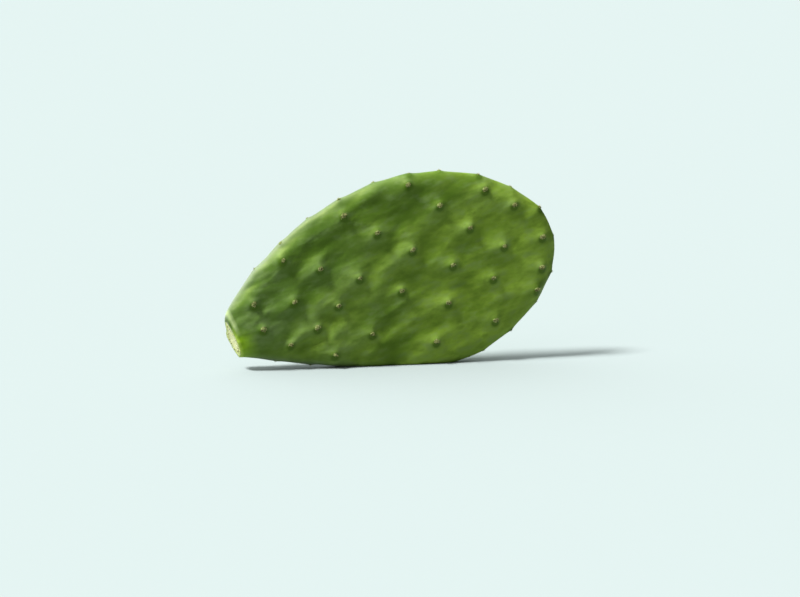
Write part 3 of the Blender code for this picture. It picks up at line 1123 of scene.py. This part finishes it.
def edged_green(nodes, green):
    """The green with a painted highlight on the rim near the base, and at the cut its lip, a
    painted highlight strip and painted shade in the crease.
    """
    place = add_node(nodes, "ShaderNodeTexCoord").outputs["Object"]
    place = add_node(nodes, "ShaderNodeSeparateXYZ", place).outputs
    values = {"X": place["X"], "Z": place["Z"]}
    for name in ("facing", "from_cut"):
        values[name] = stored_number(nodes, name)
    shares = {name: between(nodes, values[source], *span)
              for name, (source, span) in EDGE_SPANS.items()}
    return layered(nodes, green, [
        (all_of(nodes, *(shares[name] for name in names)), tint) for tint, *names in EDGE_LAYERS])


print("layers at the edges:", len(EDGE_LAYERS))

# %% Paint the skin
SKIN_SURFACE = {
    "Subsurface Weight": 0.12, "Subsurface Radius": (0.5, 1.0, 0.2), "Subsurface Scale": 2.0 * MM,
    "Specular IOR Level": 0.30, "Specular Tint": (0.9, 1.0, 0.25, 1), "Sheen Weight": 0.1,
    "Sheen Roughness": 0.3, "Sheen Tint": (1.0, 1.0, 0.9, 1),
}
WAX_ROUGHNESS = (0.3, 0.7, 0.50, 0.62)
GRAIN_MM = (0.6, 0.4)
GRAIN_BUMP = (0.25, 0.1 * MM)


def paint_skin():
    """The waxy green skin."""
    material, nodes, shader = new_material("cactus_skin", SKIN_SURFACE)
    mottle = noise_of(nodes, object_place(nodes, *MOTTLE_MM), FINE_DETAIL)
    green = edged_green(nodes, greens_with_painted_light(nodes, mottle))
    link(nodes, green, shader.inputs["Base Color"])
    link(nodes, between(nodes, mottle, *WAX_ROUGHNESS), shader.inputs["Roughness"])
    set_bump(nodes, shader, noise_of(nodes, object_place(nodes, *GRAIN_MM)), *GRAIN_BUMP)
    return material


pad.data.materials.clear()
pad.data.materials.append(paint_skin())
print("skin painted")

# %% [markdown]
# ## Felt, wool and bristles
# The felt is a dull olive, the wool is a paler green grey, and the bristles run from straw to
# dark brown. Each copy carries its own tint number, so one material serves them all.

# %% Paint the areoles
FELT_TINTS = ((0.16, 0.20, 0.055), (0.10, 0.12, 0.025), (0.055, 0.060, 0.012))
BRISTLE_TINTS = ((0.58, 0.58, 0.26), (0.36, 0.29, 0.10), (0.12, 0.09, 0.025))
WOOL_TINTS = ((0.36, 0.44, 0.15), (0.21, 0.25, 0.07), (0.055, 0.06, 0.012))
TUFT_MM = (1.0, 1.0)
TUFT_SPAN = (0.52, 0.44, 0.0, 0.95)
FELT_BUMP = (0.6, 0.3 * MM)


def paint_tinted(nodes, shader, tints):
    """Colours between two tints by each copy's number, with a third in patches of a noise."""
    first, second, third = tints
    tuft = noise_of(nodes, object_place(nodes, *TUFT_MM))
    colour = layered(nodes, first, (
        (stored_number(nodes, "tint"), second), (between(nodes, tuft, *TUFT_SPAN), third),
    ))
    link(nodes, colour, shader.inputs["Base Color"])
    return tuft


felt_tuft = paint_tinted(felt_nodes, felt_shader, FELT_TINTS)
set_bump(felt_nodes, felt_shader, felt_tuft, *FELT_BUMP)
paint_tinted(bristle_nodes, bristle_shader, BRISTLE_TINTS)
paint_tinted(wool_nodes, wool_shader, WOOL_TINTS)
print("areoles painted")

# %% [markdown]
# ## Wet flesh
# From the rind inwards the cut runs from a thin green line through bright yellow-green to a
# pale core. A colour ramp on the stored share of the way in gives these bands, and a noise
# bends them so that they do not look drawn. The surface is wet, so it is smoother than skin.

# %% Paint the flesh
FLESH_BANDS = (
    (0.00, (0.13, 0.21, 0.02)), (0.06, (0.22, 0.30, 0.03)), (0.18, (0.34, 0.39, 0.09)),
    (0.34, (0.42, 0.45, 0.17)), (0.62, (0.47, 0.48, 0.24)), (1.00, (0.43, 0.45, 0.19)),
)
PALE_FIBRE = (0.62, 0.62, 0.40)
DARK_FIBRE = (0.24, 0.26, 0.06)
FIBRE_LAYERS = ((PALE_FIBRE, (0.52, 0.66, 0.0, 0.7)), (DARK_FIBRE, (0.44, 0.34, 0.0, 0.6)))
FIBRE_MM = (1.4, 0.7)
FIBRE_BUMP = (0.8, 0.4 * MM)
WAVER_MM = (3, 3)
BAND_BEND = 0.22
FLESH_SURFACE = {
    "Roughness": 0.3, "Subsurface Weight": 0.35, "Subsurface Radius": (1.0, 1.0, 0.4),
    "Subsurface Scale": 2.0 * MM,
}


def flesh_bands(nodes):
    """The bands from the rind to the core, bent a little."""
    waver = math_of(nodes, "SUBTRACT", noise_of(nodes, object_place(nodes, *WAVER_MM)), 0.5)
    bent = math_of(nodes, "MULTIPLY_ADD", waver, BAND_BEND, stored_number(nodes, "inward"))
    ramp = add_node(nodes, "ShaderNodeValToRGB", bent)
    stops = ramp.color_ramp.elements
    while len(stops) < len(FLESH_BANDS):
        stops.new(0.5)
    for stop, (share, colour) in zip(stops, FLESH_BANDS):
        stop.position = share
        stop.color = (*colour, 1)
    return ramp.outputs[0]


def paint_flesh():
    """The pale, wet flesh of the cut."""
    material, nodes, shader = new_material("cactus_flesh", FLESH_SURFACE)
    fibres = noise_of(nodes, object_place(nodes, *FIBRE_MM), FINE_DETAIL)
    colour = layered(nodes, flesh_bands(nodes), [
        (between(nodes, fibres, *span), tint) for tint, span in FIBRE_LAYERS])
    link(nodes, colour, shader.inputs["Base Color"])
    set_bump(nodes, shader, fibres, *FIBRE_BUMP)
    return material


flesh.data.materials.append(paint_flesh())
print("flesh painted")

# %% [markdown]
# ## Floor and light
# A plain pale floor and backdrop leave the pad to itself. The main light comes from high on
# the cut end's side and skims the front face, which shows its swellings. The pale world
# fills the shade.

# %% Set the stage
FLOOR_HALF_WIDTH = 60.0
FLOOR_SURFACE = {
    "Base Color": (0.237, 0.274, 0.275, 1), "Roughness": 0.8, "Specular IOR Level": 0.0,
}
KEY_FROM = (-0.56, -0.105, 0.82)
KEY_STRENGTH = 8.6
KEY_COLOUR = (1.0, 0.99, 0.97)
KEY_WIDTH = math.radians(14)
BRIGHT_SIDE = (-0.6, 0.45, 0.65)
BRIGHT_AIR = (1.9, 1.95, 1.9)
DIM_AIR = (0.03, 0.035, 0.03)
AIR_SPAN = (-0.1, 0.9)


def add_floor():
    """A wide pale floor."""
    bm = bmesh.new()
    bmesh.ops.create_grid(bm, x_segments=1, y_segments=1, size=FLOOR_HALF_WIDTH)
    floor = object_from(bm, "floor")
    floor.data.materials.append(new_material("pale_floor", FLOOR_SURFACE)[0])
    return floor


def add_key():
    """The main light: a soft sun that shines from one side."""
    light = bpy.data.lights.new("key", "SUN")
    light.energy = KEY_STRENGTH
    light.color = KEY_COLOUR
    light.angle = KEY_WIDTH
    key = bpy.data.objects.new("key", light)
    key.rotation_mode = "QUATERNION"
    key.rotation_quaternion = Vector(KEY_FROM).to_track_quat("Z", "Y")
    bpy.context.scene.collection.objects.link(key)


def set_world():
    """A studio round the pad that is bright on one side and dimmer on the other."""
    world = bpy.data.worlds.new("studio")
    world.use_nodes = True
    nodes = world.node_tree
    way = add_node(nodes, "ShaderNodeTexCoord").outputs["Generated"]
    facing = number_of(nodes, "DOT_PRODUCT", way, Vector(BRIGHT_SIDE).normalized())
    colour = layered(nodes, DIM_AIR, ((between(nodes, facing, *AIR_SPAN), BRIGHT_AIR),))
    link(nodes, colour, nodes.nodes["Background"].inputs["Color"])
    bpy.context.scene.world = world


floor = add_floor()
add_key()
set_world()
bpy.context.scene.view_settings.view_transform = "Standard"
print("stage set")

# %% [markdown]
# ## The pieces on the body
# Loose helpers are removed, every piece rides on the pad's one body, and the skin stands in
# for the solid pad, which stays hidden behind it.

# %% Put every piece on the pad's body
bpy.data.objects.remove(seats)
for piece, slot in ((pad, "skin"), (flesh, "flesh"), (vessel_ends, "flesh"), (cushions, "areole"),
                    (glochids, "areole"), (felt_hairs, "areole")):
    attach(piece, "root")
    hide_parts("cactus_pad")
    print(piece.name, "triangles:", sum(len(p.vertices) - 2 for p in piece.data.polygons))
